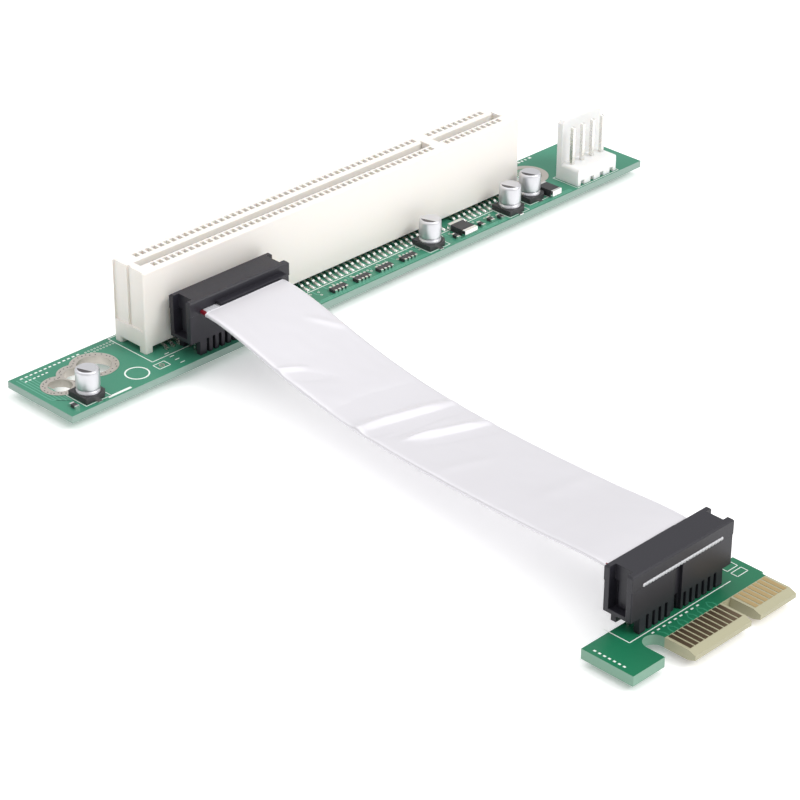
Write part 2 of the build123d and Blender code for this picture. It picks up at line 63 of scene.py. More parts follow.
riser_low, riser_high = box_mm("riser_board")
card_low, card_high = box_mm("edge_card_board")
slot_low, slot_high = box_mm("slot_housing")
upper_low, upper_high = box_mm("upper_connector_base")
lower_low, lower_high = box_mm("lower_connector_base")
header_low, header_high = box_mm("power_header_housing")
finger_low, finger_high = box_mm("edge_fingers_top")
foil_low, foil_high = box_mm("cable_foil")
front_foot_y = box_mm("slot_contacts_front")[0].y
rear_foot_y = box_mm("slot_contacts_rear")[1].y
ring_top = box_mm("lobed_hole_plating")[1].z
board_top = riser_high.z
front_y = riser_low.y
capacitor_numbers = range(1, 5)

# The slot has 62 places at one pitch, and its key takes two of them
contact_pitch = 1.27
place_count = 62
key_places = (50, 51)
slot_x = (slot_low.x + slot_high.x) / 2
contact_xs = [slot_x + (n - (place_count + 1) / 2) * contact_pitch
              for n in range(1, place_count + 1) if n not in key_places]

# The edge card has eleven long fingers, then the key notch, then seven short ones
finger_pitch = 1.0
long_finger_count = 11
short_finger_count = 7
key_notch_x = finger_high.x - short_finger_count * finger_pitch


# Shader groups

def new_group(name, inputs, outputs):
    """An empty node group with its sockets; gives the tree and its input and output nodes."""
    tree = bpy.data.node_groups.new(name, "ShaderNodeTree")
    for socket_name, kind in inputs:
        tree.interface.new_socket(socket_name, in_out="INPUT", socket_type=kind)
    for socket_name, kind in outputs:
        tree.interface.new_socket(socket_name, in_out="OUTPUT", socket_type=kind)
    return tree, tree.nodes.new("NodeGroupInput"), tree.nodes.new("NodeGroupOutput")


def math_node(tree, operation, first, second=None):
    """A math node fed by sockets or numbers; gives its output."""
    node = tree.nodes.new("ShaderNodeMath")
    node.operation = operation
    for index, value in enumerate((first, second)):
        if value is None:
            continue
        if isinstance(value, (int, float)):
            node.inputs[index].default_value = value
        else:
            tree.links.new(value, node.inputs[index])
    return node.outputs[0]


def mix_colour(tree, mask, first, second):
    """A colour mix by a mask socket, of sockets or plain colours; gives its output."""
    node = tree.nodes.new("ShaderNodeMix")
    node.data_type = "RGBA"
    tree.links.new(mask, node.inputs[0])
    for socket, value in ((node.inputs[6], first), (node.inputs[7], second)):
        if isinstance(value, bpy.types.NodeSocket):
            tree.links.new(value, socket)
        else:
            socket.default_value = (*value, 1)
    return node.outputs[2]


def position_parts(tree):
    """X, Y and Z of the shaded point, in metres."""
    place = tree.nodes.new("ShaderNodeNewGeometry")
    split = tree.nodes.new("ShaderNodeSeparateXYZ")
    tree.links.new(place.outputs["Position"], split.inputs[0])
    return split.outputs


def position_noise(tree, detail):
    """Noise over the object's own place; gives the node."""
    place = tree.nodes.new("ShaderNodeNewGeometry")
    field = tree.nodes.new("ShaderNodeTexNoise")
    field.inputs["Detail"].default_value = detail
    tree.links.new(place.outputs["Position"], field.inputs["Vector"])
    return field


def grain_group():
    """Fine surface grain: a normal and a value from noise of a given scale and depth."""
    tree, entry, leave = new_group(
        "grain",
        [("Scale", "NodeSocketFloat"), ("Depth", "NodeSocketFloat"), ("Normal", "NodeSocketVector")],
        [("Normal", "NodeSocketVector"), ("Value", "NodeSocketFloat")])
    field = position_noise(tree, detail=4)
    tree.links.new(entry.outputs["Scale"], field.inputs["Scale"])
    bump = tree.nodes.new("ShaderNodeBump")
    bump.inputs["Distance"].default_value = 0.05 * MM
    tree.links.new(entry.outputs["Depth"], bump.inputs["Strength"])
    tree.links.new(entry.outputs["Normal"], bump.inputs["Normal"])
    tree.links.new(field.outputs["Fac"], bump.inputs["Height"])
    tree.links.new(bump.outputs["Normal"], leave.inputs["Normal"])
    tree.links.new(field.outputs["Fac"], leave.inputs["Value"])
    return tree


def upright_group():
    """Mask that is 1 on upright faces and 0 on flat ones."""
    steepest_flat = 0.5
    tree, _, leave = new_group("upright_faces", [], [("Mask", "NodeSocketFloat")])
    place = tree.nodes.new("ShaderNodeNewGeometry")
    split = tree.nodes.new("ShaderNodeSeparateXYZ")
    tree.links.new(place.outputs["True Normal"], split.inputs[0])
    flat = math_node(tree, "ABSOLUTE", split.outputs[2])
    tree.links.new(math_node(tree, "LESS_THAN", flat, steepest_flat), leave.inputs["Mask"])
    return tree


def shade_group():
    """Slow, slight change of shade over a surface, from 0 to 1."""
    tree, _, leave = new_group("slow_shade", [], [("Value", "NodeSocketFloat")])
    field = position_noise(tree, detail=1)
    field.inputs["Scale"].default_value = 90
    tree.links.new(field.outputs["Fac"], leave.inputs["Value"])
    return tree


def corner_group():
    """Mask that is 1 where Y is below Rear and X is above Left, both in metres."""
    tree, entry, leave = new_group("bare_corner", [("Rear", "NodeSocketFloat"), ("Left", "NodeSocketFloat")],
                                   [("Mask", "NodeSocketFloat")])
    x, y, _ = position_parts(tree)
    before = math_node(tree, "LESS_THAN", y, entry.outputs["Rear"])
    beside = math_node(tree, "GREATER_THAN", x, entry.outputs["Left"])
    tree.links.new(math_node(tree, "MULTIPLY", before, beside), leave.inputs["Mask"])
    return tree


groups = {"grain": grain_group(), "upright": upright_group(), "shade": shade_group(), "corner": corner_group()}


def add_group(material, name):
    """A node of one of the shared groups in a material."""
    node = material.node_tree.nodes.new("ShaderNodeGroup")
    node.node_tree = groups[name]
    return node


def corner_mask(material, left, rear):
    """The corner mask in a material, right of left and in front of rear, in mm; gives its output."""
    corner = add_group(material, "corner")
    corner.inputs["Left"].default_value = left * MM
    corner.inputs["Rear"].default_value = rear * MM
    return corner.outputs["Mask"]


# Materials

def finish_material(name, colour, roughness, metallic=0.0, grain=900, depth=0.15, edge=0.0, specular=0.5,
                    coat=0.0, milk=0.0):
    """A principled material with grain of a scale and depth, edges softened by a radius in mm,
    slight unevenness of gloss, and for milky plastic some light through its skin."""
    gloss_change = 0.06
    smoothest = 0.02
    material = bpy.data.materials.new(name)
    material.use_nodes = True
    tree = material.node_tree
    shader = tree.nodes["Principled BSDF"]
    shader.inputs["Base Color"].default_value = (*colour, 1)
    shader.inputs["Metallic"].default_value = metallic
    shader.inputs["Specular IOR Level"].default_value = specular
    shader.inputs["Coat Weight"].default_value = coat
    shader.inputs["Coat Roughness"].default_value = 0.15
    if milk:
        shader.inputs["Subsurface Weight"].default_value = milk
        shader.inputs["Subsurface Radius"].default_value = (1.0, 0.8, 0.6)
        shader.inputs["Subsurface Scale"].default_value = 0.6 * MM
    surface = add_group(material, "grain")
    surface.inputs["Scale"].default_value = grain
    surface.inputs["Depth"].default_value = depth
    if edge:
        under = tree.nodes.new("ShaderNodeBevel")
        under.samples = 4
        under.inputs["Radius"].default_value = edge * MM
    else:
        under = tree.nodes.new("ShaderNodeNewGeometry")
    tree.links.new(under.outputs["Normal"], surface.inputs["Normal"])
    tree.links.new(surface.outputs["Normal"], shader.inputs["Normal"])
    uneven = tree.nodes.new("ShaderNodeMapRange")
    uneven.inputs["To Min"].default_value = max(roughness - gloss_change, smoothest)
    uneven.inputs["To Max"].default_value = roughness + gloss_change
    tree.links.new(surface.outputs["Value"], uneven.inputs["Value"])
    tree.links.new(uneven.outputs["Result"], shader.inputs["Roughness"])
    return material


def mask_material(name, colour, deep_colour, rim_colour):
    """Circuit board under solder mask, with a pale cut rim; gives the material and its colour."""
    material = finish_material(name, colour, 0.34, grain=2500, depth=0.08, specular=0.28, coat=0.06)
    tree = material.node_tree
    shade = add_group(material, "shade")
    upright = add_group(material, "upright")
    top = mix_colour(tree, shade.outputs["Value"], deep_colour, colour)
    top = mix_colour(tree, upright.outputs["Mask"], top, rim_colour)
    tree.links.new(top, tree.nodes["Principled BSDF"].inputs["Base Color"])
    return material, top


def card_material():
    """The edge card: green mask, and bare laminate on the two tongues that carry the fingers."""
    bare_laminate = (0.42, 0.40, 0.27)
    bare_beside_fingers = 0.8
    bare_behind_fingers = 0.15
    material, top = mask_material("card_mask", (0.014, 0.190, 0.092), (0.010, 0.130, 0.062), (0.20, 0.36, 0.27))
    tree = material.node_tree
    bare = corner_mask(material, finger_low.x - bare_beside_fingers, finger_high.y + bare_behind_fingers)
    top = mix_colour(tree, bare, top, bare_laminate)
    tree.links.new(top, tree.nodes["Principled BSDF"].inputs["Base Color"])
    return material


def finger_material():
    """Gold plating, bronze on the long fingers and brighter past the key notch."""
    bronze = (0.175, 0.125, 0.075)
    bright = (0.56, 0.41, 0.20)
    material = finish_material("finger_gold", bright, 0.34, metallic=0.85, grain=1500, depth=0.2)
    tree = material.node_tree
    past_notch = corner_mask(material, key_notch_x, card_high.y)
    tone = mix_colour(tree, past_notch, bronze, bright)
    tree.links.new(tone, tree.nodes["Principled BSDF"].inputs["Base Color"])
    return material


materials = {
    "riser": mask_material("riser_mask", (0.060, 0.270, 0.175), (0.036, 0.190, 0.120), (0.26, 0.37, 0.32))[0],
    "card": card_material(),
    "ivory": finish_material("slot_ivory", (0.88, 0.842, 0.795), 0.42, grain=700, depth=0.1, edge=0.12,
                             milk=0.25),
    "black": finish_material("connector_black", (0.021, 0.020, 0.027), 0.36, grain=5000, depth=0.35, edge=0.1,
                             specular=0.36),
    "soft_black": finish_material("chip_black", (0.035, 0.035, 0.038), 0.5, grain=6000, depth=0.4, edge=0.05),
    "white": finish_material("header_white", (0.84, 0.84, 0.83), 0.4, depth=0.08, edge=0.1, milk=0.2),
    "tin": finish_material("tin", (0.80, 0.79, 0.76), 0.27, metallic=1.0, grain=2500, depth=0.3, edge=0.04),
    "solder": finish_material("solder", (0.86, 0.86, 0.84), 0.16, metallic=1.0, grain=1500, depth=0.3),
    "dull_tin": finish_material("dull_tin", (0.62, 0.58, 0.53), 0.42, metallic=1.0, grain=2200, depth=0.8),
    "fingers": finger_material(),
    "can": finish_material("can_aluminium", (0.70, 0.70, 0.73), 0.40, metallic=0.9, grain=1800, depth=0.12),
    "can_mark": finish_material("can_mark", (0.06, 0.055, 0.06), 0.35, grain=3000, depth=0.1),
    "print": finish_material("print_white", (0.80, 0.84, 0.80), 0.5, grain=4000, depth=0.3),
    "track": finish_material("track_under_mask", (0.125, 0.38, 0.27), 0.34, grain=2500, depth=0.08,
                             specular=0.28),
    "dark_track": finish_material("card_track_under_mask", (0.04, 0.27, 0.15), 0.34, grain=2500, depth=0.08,
                                  specular=0.28),
    "via": finish_material("via_tin", (0.60, 0.66, 0.60), 0.4, metallic=0.6, grain=1500, depth=0.2),
    "wire_grey": finish_material("wire_grey", (0.60, 0.60, 0.63), 0.4, grain=1500, depth=0.2),
    "wire_red": finish_material("wire_red", (0.20, 0.006, 0.016), 0.4, grain=1500, depth=0.2),
    "foil": finish_material("foil", (0.745, 0.73, 0.765), 0.37, metallic=0.35, grain=160, depth=0.9,
                            specular=0.6),
}

node_finish = {
    "riser_board": "riser", "edge_card_board": "card", "slot_housing": "ivory",
    "slot_contacts_front": "tin", "slot_contacts_rear": "tin",
    "lobed_hole_plating": "dull_tin", "round_hole_plating": "dull_tin",
    "edge_fingers_top": "fingers", "edge_fingers_bottom": "fingers",
    "power_header_housing": "white", "power_header_pins": "tin",
    "bridge_chip_body": "soft_black", "bridge_chip_leads": "tin",
    "chip_resistor_bodies": "soft_black", "chip_resistor_ends": "solder",
    "resistor_array_bodies": "soft_black", "resistor_array_ends": "solder",
    "regulator_body": "soft_black", "regulator_ends": "solder",
    "diode_body": "soft_black", "diode_ends": "solder",
}
for level in ("upper", "lower"):
    node_finish[f"{level}_connector_base"] = "black"
    node_finish[f"{level}_connector_cover"] = "black"
    node_finish[f"{level}_connector_pins"] = "tin"
for number in capacitor_numbers:
    node_finish[f"capacitor_{number}_base"] = "soft_black"
    node_finish[f"capacitor_{number}_leads"] = "solder"

for node_name, finish in node_finish.items():
    for material_slot in nodes[node_name].material_slots:
        material_slot.material = materials[finish]


# Mesh pieces

def circle_angles(turns):
    """Equal steps round a circle."""
    return [2 * math.pi * turn / turns for turn in range(turns)]


class Shape:
    """Vertices and faces of one piece, gathered in mm."""

    def __init__(self):
        self.points = []
        self.faces = []
        self.finish_numbers = []

    def box(self, low, high):
        """A closed box between two corners."""
        start = len(self.points)
        self.points += [(x, y, z) for x in (low[0], high[0]) for y in (low[1], high[1])
                        for z in (low[2], high[2])]
        for face in ((0, 1, 3, 2), (4, 6, 7, 5), (0, 4, 5, 1), (2, 3, 7, 6), (0, 2, 6, 4), (1, 5, 7, 3)):
            self.faces.append(tuple(start + i for i in face))

    def bar(self, x, y, length, width, z, height):
        """A box that lies on z, from its left front corner in plan."""
        self.box((x, y, z), (x + length, y + width, z + height))

    def plate(self, outline, z, height):
        """An outline in plan raised from z by height."""
        start = len(self.points)
        count = len(outline)
        self.points += [(x, y, z) for x, y in outline] + [(x, y, z + height) for x, y in outline]
        self.faces.append(tuple(start + i for i in reversed(range(count))))
        self.faces.append(tuple(start + count + i for i in range(count)))
        for i in range(count):
            j = (i + 1) % count
            self.faces.append((start + i, start + j, start + count + j, start + count + i))

    def strip(self, first, second, width, z, height):
        """A flat bar of some width from one point to another on a board."""
        along = Vector((second[0] - first[0], second[1] - first[1]))
        across = Vector((-along.y, along.x)).normalized() * width / 2
        self.plate([(first[0] + across.x, first[1] + across.y), (first[0] - across.x, first[1] - across.y),
                    (second[0] - across.x, second[1] - across.y), (second[0] + across.x, second[1] + across.y)],
                   z, height)

    def bent_strip(self, points, width, z, height):
        """Strips from each point to the next."""
        for first, second in zip(points, points[1:]):
            self.strip(first, second, width, z, height)

    def frame(self, low, high, width, z, height):
        """Four strips round a rectangle in plan."""
        self.strip((low[0], low[1]), (high[0], low[1]), width, z, height)
        self.strip((low[0], high[1]), (high[0], high[1]), width, z, height)
        self.strip((low[0], low[1]), (low[0], high[1]), width, z, height)
        self.strip((high[0], low[1]), (high[0], high[1]), width, z, height)

    def ring(self, centre, inner, outer, z, height, turns=48):
        """A flat ring raised from z by height."""
        for turn in range(turns):
            a = 2 * math.pi * turn / turns
            b = 2 * math.pi * (turn + 1) / turns
            self.plate([(centre[0] + outer * math.cos(a), centre[1] + outer * math.sin(a)),
                        (centre[0] + outer * math.cos(b), centre[1] + outer * math.sin(b)),
                        (centre[0] + inner * math.cos(b), centre[1] + inner * math.sin(b)),
                        (centre[0] + inner * math.cos(a), centre[1] + inner * math.sin(a))], z, height)

    def dome(self, centre, radii, turns=12, rings=4):
        """A closed half ellipsoid on its flat side; a height below zero hangs it under the centre."""
        first_face = len(self.faces)
        start = len(self.points)
        for ring in range(rings):
            lift = math.sin(ring / rings * math.pi / 2)
            spread = math.cos(ring / rings * math.pi / 2)
            for angle in circle_angles(turns):
                self.points.append((centre[0] + radii[0] * spread * math.cos(angle),
                                    centre[1] + radii[1] * spread * math.sin(angle),
                                    centre[2] + radii[2] * lift))
        self.skin(start, rings - 1, turns)
        top = len(self.points)
        self.points.append((centre[0], centre[1], centre[2] + radii[2]))
        last = top - turns
        for turn in range(turns):
            self.faces.append((last + turn, last + (turn + 1) % turns, top))
        self.faces.append(tuple(start + i for i in reversed(range(turns))))
        if radii[2] < 0:
            self.faces[first_face:] = [tuple(reversed(face)) for face in self.faces[first_face:]]

    def turned(self, centre, profile, turns=64):
        """A closed turned form round an upright line; profile gives radius and Z, lowest first."""
        start = len(self.points)
        for radius, z in profile:
            for angle in circle_angles(turns):
                self.points.append((centre[0] + radius * math.cos(angle), centre[1] + radius * math.sin(angle), z))
        self.skin(start, len(profile) - 1, turns)
        self.faces.append(tuple(start + i for i in reversed(range(turns))))
        self.faces.append(tuple(len(self.points) - turns + i for i in range(turns)))

    def skin(self, start, steps, around):
        """Faces between sections of the same number of points, one after the other from start."""
        for step in range(steps):
            for i in range(around):
                a = start + step * around + i
                b = start + step * around + (i + 1) % around
                self.faces.append((a, b, b + around, a + around))

    def piece(self, name, *finishes, smooth=False):
        """The finished object, riding on the part's one body."""
        mesh = bpy.data.meshes.new(name)
        mesh.from_pydata([Vector(point) * MM for point in self.points], [], self.faces)
        for finish in finishes:
            mesh.materials.append(materials[finish])
        if self.finish_numbers:
            mesh.polygons.foreach_set("material_index", self.finish_numbers)
        if smooth:
            mesh.polygons.foreach_set("use_smooth", [True] * len(mesh.polygons))
        mesh.update()
        made = bpy.data.objects.new(name, mesh)
        bpy.context.scene.collection.objects.link(made)
        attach(made, "root")
        return made


# Solder: pads and domes at the contact feet, and domes round the pin tails under the boards

front_pad_reach = 1.0


def add_solder():
    """Pads under the feet of both rows of contacts, and all the solder joints."""
    clear_of_connector = 0.6
    pad_height = 0.035
    pad_half = 0.36
    front_pad_back = 0.9
    rear_pad_front = 1.3
    rear_pad_back = 0.2
    front_joint_setback = 0.30
    rear_joint_setback = 0.25
    front_joint = (0.32, 0.62)
    front_joint_height = 0.26
    front_joint_growth = 0.06
    rear_joint = (0.32, 0.4, 0.3)
    tail_joint = (0.42, 0.42, -0.3)
    pads = Shape()
    joints = Shape()
    for x in contact_xs:
        by_connector = upper_low.x - clear_of_connector < x < upper_high.x + clear_of_connector
        reach = 0 if by_connector else front_pad_reach
        pads.box((x - pad_half, front_foot_y - reach, board_top),
                 (x + pad_half, front_foot_y + front_pad_back, board_top + pad_height))
        pads.box((x - pad_half, rear_foot_y - rear_pad_front, board_top),
                 (x + pad_half, rear_foot_y + rear_pad_back, board_top + pad_height))
        if not by_connector:
            height = front_joint_height + front_joint_growth * random.random()
            joints.dome((x, front_foot_y - front_joint_setback, board_top), (*front_joint, height))
        joints.dome((x, rear_foot_y - rear_joint_setback, board_top), rear_joint)
    for node, bottom in (("upper_connector_pins", riser_low.z), ("lower_connector_pins", card_low.z)):
        for x, y in pin_places(node):
            joints.dome((x, y, bottom), tail_joint)
    pads.piece("contact_pads", "solder")
    joints.piece("solder_joints", "solder", smooth=True)


def pin_places(node):
    """Centres in plan of the two rows of 13 square pins that fill a node's box."""
    columns = 13
    pin_pitch = 1.27
    low, high = box_mm(node)
    size = (high.x - low.x) - (columns - 1) * pin_pitch
    xs = [low.x + size / 2 + i * pin_pitch for i in range(columns)]
    ys = [low.y + size / 2, high.y - size / 2]
    return [(x, y) for x in xs for y in ys]


# Capacitors

def add_can(number):
    """A turned can with a crimp groove and a rounded shoulder, and a dark sector on its lid."""
    # Shares of the can's radius, and heights that are stretched to the can's own
    profile_height = 4.12
    profile = ((1.0, 0.0), (1.0, 0.55), (0.985, 0.66), (0.93, 0.80), (0.885, 0.90), (0.93, 1.0), (0.985, 1.14),
               (1.0, 1.25), (1.0, 3.70), (0.985, 3.86), (0.945, 3.99), (0.88, 4.08), (0.80, profile_height))
    low, high = box_mm(f"capacitor_{number}_can")
    centre = (low + high) / 2
    radius = (high.x - low.x) / 2
    stretch = (high.z - low.z) / profile_height
    shell = Shape()
    shell.turned(centre, [(radius * share, low.z + height * stretch) for share, height in profile])
    shell_piece = shell.piece(f"capacitor_{number}_shell", "can", smooth=True)
    for flat_end in (-1, -2):
        shell_piece.data.polygons[flat_end].use_smooth = False
    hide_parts(f"capacitor_{number}_can")

    mark_radius = radius * 0.80
    mark_height = 0.012
    heading = math.radians(200)
    half_sweep = math.radians(62)
    steps = 24
    arc = [heading - half_sweep + 2 * half_sweep * i / steps for i in range(steps + 1)]
    mark = Shape()
    mark.plate([(centre.x + mark_radius * math.cos(angle), centre.y + mark_radius * math.sin(angle))
                for angle in arc], high.z, mark_height)
    mark.piece(f"capacitor_{number}_mark", "can_mark")


# Tracks under the mask of both boards, and vias

track_height = 0.02
track_width = 0.16


def add_tracks():
    """The tracks of both boards and the riser's vias."""
    tracks = Shape()
    vias = Shape()
    contact_tracks(tracks, vias)
    long_tracks(tracks)
    right_zone_tracks(tracks, vias)
    left_zone_tracks(tracks)
    via_field(vias)
    tracks.piece("riser_tracks", "track")
    card_tracks().piece("card_tracks", "dark_track")
    vias.piece("riser_vias", "via")


def track(shape, *points):
    """A track through several points on the riser board."""
    shape.bent_strip(points, track_width, board_top, track_height)


def via(shape, x, y, size=0.24):
    """A small tinned via on the riser board."""
    hole_share = 0.4
    shape.ring((x, y), size * hole_share, size, board_top, track_height * 1.5, turns=10)


def contact_tracks(tracks, vias):
    """A short bent track that ends in a via, in front of each contact clear of the connector."""
    clear_of_connector = 1.5
    lengths = (0.9, 1.5, 0.6, 1.9)
    side_step = 0.5
    start = front_foot_y - front_pad_reach
    for index, x in enumerate(contact_xs):
        if x < upper_high.x + clear_of_connector:
            continue
        bend = start - lengths[index % len(lengths)]
        end_x = x + (side_step if index % 3 else -side_step)
        track(tracks, (x, start), (x, bend), (end_x, bend - side_step))
        via(vias, end_x, bend - side_step)


def long_tracks(tracks):
    """Three lanes along the board's front edge, each in two runs."""
    first_lane = 0.42
    lane_gap = 0.30
    first_run_start = upper_high.x + 3
    first_run_end = slot_high.x - 24
    second_run_start = slot_high.x - 21
    second_run_end = slot_high.x + 7
    bend = 0.5
    for lane in range(3):
        y = front_y + first_lane + lane_gap * lane
        turn_x = first_run_end - lane
        track(tracks, (first_run_start + 2 * lane, y), (turn_x, y), (turn_x + bend, y + bend))
        track(tracks, (second_run_start + lane, y), (second_run_end, y))


def right_zone_tracks(tracks, vias):
    """Six slanted tracks behind the power header, each down to a via."""
    first_x = slot_high.x + 1.6
    lane_gap = 0.7
    start_y = riser_high.y - 1.0
    slant = 2.6
    first_end_y = riser_high.y - 6.6
    end_step = 0.5
    for lane in range(6):
        x = first_x + lane_gap * lane
        end_y = first_end_y + end_step * lane
        track(tracks, (x, start_y), (x + slant, start_y - slant), (x + slant, end_y))
        via(vias, x + slant, end_y)


def left_zone_tracks(tracks):
    """Five tracks down the board's left end."""
    first_x = riser_low.x + 0.9
    lane_gap = 0.55
    start_y = riser_high.y - 0.9
    first_bend_y = front_y + 6.0
    bend_step = 0.6
    slant = 1.0
    for lane in range(5):
        x = first_x + lane_gap * lane
        bend_y = first_bend_y - bend_step * lane
        track(tracks, (x, start_y), (x, bend_y), (x + slant, bend_y - slant))


def via_field(vias):
    """Two rows of small vias behind the slot's left end."""
    first_x = riser_low.x + 14.2
    first_y = riser_high.y - 1.3
    column_gap = 0.62
    row_gap = 0.7
    small_via = 0.2
    for column in range(9):
        for row in range(2):
            via(vias, first_x + column_gap * column, first_y - row_gap * row, small_via)


def card_tracks():
    """A short track behind each long finger of the edge card."""
    shape = Shape()
    first_x = finger_low.x + 0.35
    bend_y = finger_high.y + 1.0
    end_y = finger_high.y + 1.7
    side_step = 0.5
    wide_track = 0.22
    for lane in range(long_finger_count):
        x = first_x + finger_pitch * lane
        end_x = x + (side_step if lane % 2 else -side_step)
        shape.strip((x, finger_high.y), (x, bend_y), wide_track, card_high.z, track_height)
        shape.strip((x, bend_y), (end_x, end_y), track_width, card_high.z, track_height)
    return shape


# Print: outlines and bars only. A plain ring stands where the photograph has a round mark, and
# short bars where it has lettering.

print_height = 0.025
thin_line = 0.12


def add_riser_print():
    """The riser's outlines, ring and bars, the round pad in its box, and the plating's speckles."""
    lines = Shape()
    zone_outlines(lines)
    dashes(lines)
    box_and_pad(lines)
    plain_ring(lines)
    lettering_bars(lines)
    plating_speckles().piece("plating_speckles", "can_mark")
    header_outline(lines)
    lines.piece("riser_print", "print")


def zone_outlines(lines):
    """Outlines round the slot and the capacitors, and a thick bar at the left end's front."""
    slot_margin = 0.8
    slot_front_margin = 1.35
    slot_line = 0.15
    capacitor_margin = 0.25
    lines.frame((slot_low.x - slot_margin, front_foot_y - slot_front_margin),
                (slot_high.x + slot_margin, riser_high.y - 0.3), slot_line, board_top, print_height)
    lines.bar(riser_low.x + 7.6, front_y + 0.45, 4.5, 0.5, board_top, print_height)
    for number in capacitor_numbers:
        low, high = box_mm(f"capacitor_{number}_base")
        lines.frame((low.x - capacitor_margin, low.y - capacitor_margin),
                    (high.x + capacitor_margin, high.y + capacitor_margin), thin_line, board_top, print_height)


def dashes(lines):
    """Four dashes one behind the other, left of the upper connector."""
    first_y = front_y + 1.2
    gap = 1.25
    for index in range(4):
        lines.bar(upper_low.x - 1.9, first_y + gap * index, 0.85, 0.16, board_top, print_height)


def box_and_pad(lines):
    """A small printed box round a bare tinned ring, left of the slot's front."""
    x, y = slot_low.x - 0.4, front_foot_y - 3.1
    half_length = 1.1
    half_width = 0.8
    box_line = 0.13
    pad_hole = 0.25
    pad_radius = 0.5
    lines.frame((x - half_length, y - half_width), (x + half_length, y + half_width), box_line, board_top,
                print_height)
    pad = Shape()
    pad.ring((x, y), pad_hole, pad_radius, board_top, print_height, turns=20)
    pad.piece("riser_mark_ring", "dull_tin")


def plain_ring(lines):
    """The plain ring between the left end's capacitor and the slot."""
    inner_radius = 1.75
    outer_radius = 2.0
    lines.ring((riser_low.x + 15.6, front_y + 3.4), inner_radius, outer_radius, board_top, print_height)


def lettering_bars(lines):
    """Rows of short bars along the board's rear edge, at its left end and right of the slot."""
    left_x = riser_low.x + 1.6
    right_x = slot_high.x + 1.8
    right_lengths = (0.3, 0.6, 0.45)
    for index in range(13):
        lines.bar(left_x + 0.92 * index, riser_high.y - 1.15, 0.5, 0.3, board_top, print_height)
    for index in range(6):
        lines.bar(left_x + 0.8 * index, riser_high.y - 2.3, 0.42, 0.25, board_top, print_height)
    for index in range(11):
        length = right_lengths[index % len(right_lengths)]
        lines.bar(right_x + 0.95 * index, riser_high.y - 0.95, length, 0.5, board_top, print_height)


def header_outline(lines):
    """An outline round the power header."""
    side_margin = 0.4
    front_margin = 0.3
    rear_margin = 0.35
    lines.frame((header_low.x - side_margin, header_low.y - front_margin),
                (header_high.x + side_margin, header_high.y + rear_margin), thin_line, board_top, print_height)


def plating_speckles():
    """Dark speckles on the tinned ring of the lobed hole."""
    # Each lobe's distance from the board's left end and from its front edge, and its radius
    lobes = ((12.6, 10.1, 2.75), (8.8, 9.7, 2.0), (4.7, 8.6, 1.9))
    count = 26
    hole_rim = 0.35
    ring_band = 0.5
    clear_of_lobes = 0.25
    speckle_radius = 0.13
    speckle_height = 0.01
    shape = Shape()
    for lobe_x, lobe_y, radius in lobes:
        for turn in range(count):
            angle = 2 * math.pi * (turn + 0.5 * random.random()) / count
            spread = radius + hole_rim + ring_band * random.random()
            x = riser_low.x + lobe_x + spread * math.cos(angle)
            y = front_y + lobe_y + spread * math.sin(angle)
            if all(math.hypot(x - riser_low.x - other_x, y - front_y - other_y) > other_radius + clear_of_lobes
                   for other_x, other_y, other_radius in lobes):
                shape.ring((x, y), 0.02, speckle_radius, ring_top, speckle_height, turns=6)
    return shape


def add_card_print():
    """The edge card's corner line, short bars and two small boxes."""
    corner_line = 0.14
    corner = (lower_low.x - 0.5, lower_low.y - 0.4)
    box_length = 2.2
    box_width = 1.2
    box_x = card_high.x - 3.4
    lines = Shape()
    lines.strip(corner, (lower_high.x - 0.4, corner[1]), corner_line, card_high.z, print_height)
    lines.strip(corner, (corner[0], lower_high.y - 0.6), corner_line, card_high.z, print_height)
    for index in range(9):
        lines.bar(lower_low.x + 3.2 + 1.15 * index, lower_low.y - 1.15, 0.5, 0.25, card_high.z, print_height)
    for index in range(7):
        lines.bar(card_low.x + 0.7, card_low.y + 4.4 + 0.85 * index, 0.3, 0.4, card_high.z, print_height)
    for box_y in (card_high.y - 1.8, card_high.y - 3.6):
        lines.frame((box_x, box_y), (box_x + box_length, box_y + box_width), thin_line, card_high.z, print_height)
    lines.piece("card_print", "print")


# Cable: the flat ribbon and its foil follow one smooth line through the route's points, which
# repeat those of the part. Their Z counts from the middle of the ribbon in the connectors.

route = ((-30.14, 50.6, 0.0), (-30.14, 45.7, 0.0), (-30.92, 38.54, 0.0), (-33.06, 19.01, -3.2),
         (-35.13, 0.04, -3.8), (-38.19, -27.96, -1.9), (-39.74, -42.19, 0.0), (-40.3, -47.3, 0.0),
         (-40.3, -52.2, 0.0))
wire_count = 26
wire_pitch = 0.635
ribbon_width = wire_count * wire_pitch
ribbon_thickness = 0.6


def cable_line():
    """Points read from a smooth curve along the route, in mm."""
    curve = bpy.data.curves.new("cable_route", "CURVE")
    curve.dimensions = "3D"
    curve.resolution_u = 40
    spline = curve.splines.new("NURBS")
    spline.points.add(len(route) - 1)
    for point, (x, y, z) in zip(spline.points, route):
        point.co = (x * MM, y * MM, (upper_high.z + ribbon_thickness / 2 + z) * MM, 1)
    spline.order_u = 3
    spline.use_endpoint_u = True
    holder = bpy.data.objects.new("cable_route", curve)
    points = [vertex.co / MM for vertex in bpy.data.meshes.new_from_object(holder).vertices]
    bpy.data.objects.remove(holder)
    return points


line = cable_line()


def at_y(y):
    """The point of the cable's line at a depth y."""
    for first, second in zip(line, line[1:]):
        if y >= second.y:
            share = (first.y - y) / (first.y - second.y)
            return first.lerp(second, max(share, 0))
    return line[-1].copy()


def along_foil(share):
    """Depth at a share of the foil's length from the upper connector."""
    return foil_high.y + share * (foil_low.y - foil_high.y)


